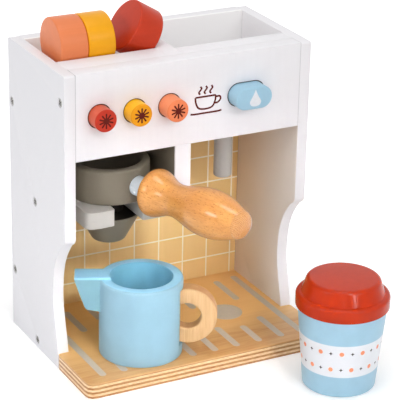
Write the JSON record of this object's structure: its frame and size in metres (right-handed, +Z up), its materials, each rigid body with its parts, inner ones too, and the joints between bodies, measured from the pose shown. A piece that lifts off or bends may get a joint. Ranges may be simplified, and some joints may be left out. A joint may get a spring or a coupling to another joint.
{
  "type": "toy coffee maker",
  "caption": "Wooden toy coffee maker with press buttons, pod bins, a slide-in filter with a turned handle, a jug, pods and a lidded takeaway cup.",
  "frame": {"origin": "on the ground under the base board, midway between the sides, in the plane of the sides' front edges", "axes": "+X to the viewer's right, -Y to the front, +Z up"},
  "size_m": [0.2565, 0.2741, 0.3183],
  "materials": {
    "white_paint": "satin paint on wood",
    "tile_print": "printed wood with pale tile joints",
    "plywood": "clear-varnished plywood",
    "pale_grey_paint": "satin paint on wood",
    "dark_grey_paint": "satin paint on wood",
    "black_paint": "matt paint on wood",
    "beech": "clear-varnished turned wood",
    "red_paint": "satin paint on wood",
    "orange_paint": "satin paint on wood",
    "yellow_paint": "satin paint on wood",
    "blue_paint": "satin paint on wood",
    "steel": "bright zinc"
  },
  "bodies": {
    "machine": {"left_side": "white_paint", "right_side": "white_paint", "back_panel": "tile_print", "base_board": "plywood", "front_panel": "white_paint", "left_button_block": "white_paint", "right_button_block": "white_paint", "divider": "white_paint", "left_bin_floor": "white_paint", "right_bin_floor": "white_paint", "filter_holder": "pale_grey_paint", "water_spout": "pale_grey_paint", "left_screw_1": "steel", "left_screw_2": "steel", "left_screw_3": "steel", "left_screw_4": "steel", "left_screw_5": "steel", "right_screw_1": "steel", "right_screw_2": "steel", "right_screw_3": "steel", "right_screw_4": "steel", "red_button_spring": "steel", "yellow_button_spring": "steel", "orange_button_spring": "steel", "blue_button_spring": "steel"},
    "red_button": {"red_button": "red_paint", "red_button_collar": "beech"},
    "yellow_button": {"yellow_button": "yellow_paint", "yellow_button_collar": "beech"},
    "orange_button": {"orange_button": "orange_paint", "orange_button_collar": "beech"},
    "blue_button": {"blue_button": "blue_paint", "blue_button_collar": "beech"},
    "filter": {"filter_cup": "dark_grey_paint", "filter_neck": "black_paint", "filter_cone": "dark_grey_paint", "handle_peg": "pale_grey_paint", "filter_handle": "beech"},
    "orange_pod": {"orange_pod": "orange_paint"},
    "yellow_pod": {"yellow_pod": "yellow_paint"},
    "red_pod": {"red_pod": "red_paint"},
    "jug": {"jug_body": "blue_paint", "jug_handle": "beech", "jug_upper_dowel": "beech", "jug_lower_dowel": "beech"},
    "takeaway_cup": {"takeaway_cup": "blue_paint"},
    "takeaway_lid": {"takeaway_lid": "red_paint"}
  },
  "joints": [
    {"name": "red_button_press", "type": "slide", "parent": "machine", "child": "red_button", "axis": [0, 1, 0], "range_m": [0, 0.005], "stiffness_N_per_m": 250, "springref_m": -0.003, "deforming": ["red_button_spring"]},
    {"name": "yellow_button_press", "type": "slide", "parent": "machine", "child": "yellow_button", "axis": [0, 1, 0], "range_m": [0, 0.005], "stiffness_N_per_m": 250, "springref_m": -0.003, "deforming": ["yellow_button_spring"]},
    {"name": "orange_button_press", "type": "slide", "parent": "machine", "child": "orange_button", "axis": [0, 1, 0], "range_m": [0, 0.005], "stiffness_N_per_m": 250, "springref_m": -0.003, "deforming": ["orange_button_spring"]},
    {"name": "blue_button_press", "type": "slide", "parent": "machine", "child": "blue_button", "axis": [0, 1, 0], "range_m": [0, 0.005], "stiffness_N_per_m": 250, "springref_m": -0.003, "deforming": ["blue_button_spring"]},
    {"name": "filter_slide", "type": "slide", "parent": "machine", "child": "filter", "axis": [0, -1, 0], "range_m": [0, 0.095]},
    {"name": "orange_pod_lift", "type": "slide", "parent": "machine", "child": "orange_pod", "axis": [0, 0, 1], "range_m": [0, 0.06]},
    {"name": "yellow_pod_lift", "type": "slide", "parent": "machine", "child": "yellow_pod", "axis": [0, 0, 1], "range_m": [0, 0.06]},
    {"name": "red_pod_lift", "type": "slide", "parent": "machine", "child": "red_pod", "axis": [0, 0, 1], "range_m": [0, 0.06]},
    {"name": "jug_slide", "type": "slide", "parent": "machine", "child": "jug", "axis": [0, -1, 0], "range_m": [0, 0.1]},
    {"name": "takeaway_cup_lift", "type": "slide", "parent": "machine", "child": "takeaway_cup", "axis": [0, 0, 1], "range_m": [0, 0.12]},
    {"name": "takeaway_lid_lift", "type": "slide", "parent": "takeaway_cup", "child": "takeaway_lid", "axis": [0, 0, 1], "range_m": [0, 0.04]}
  ]
}
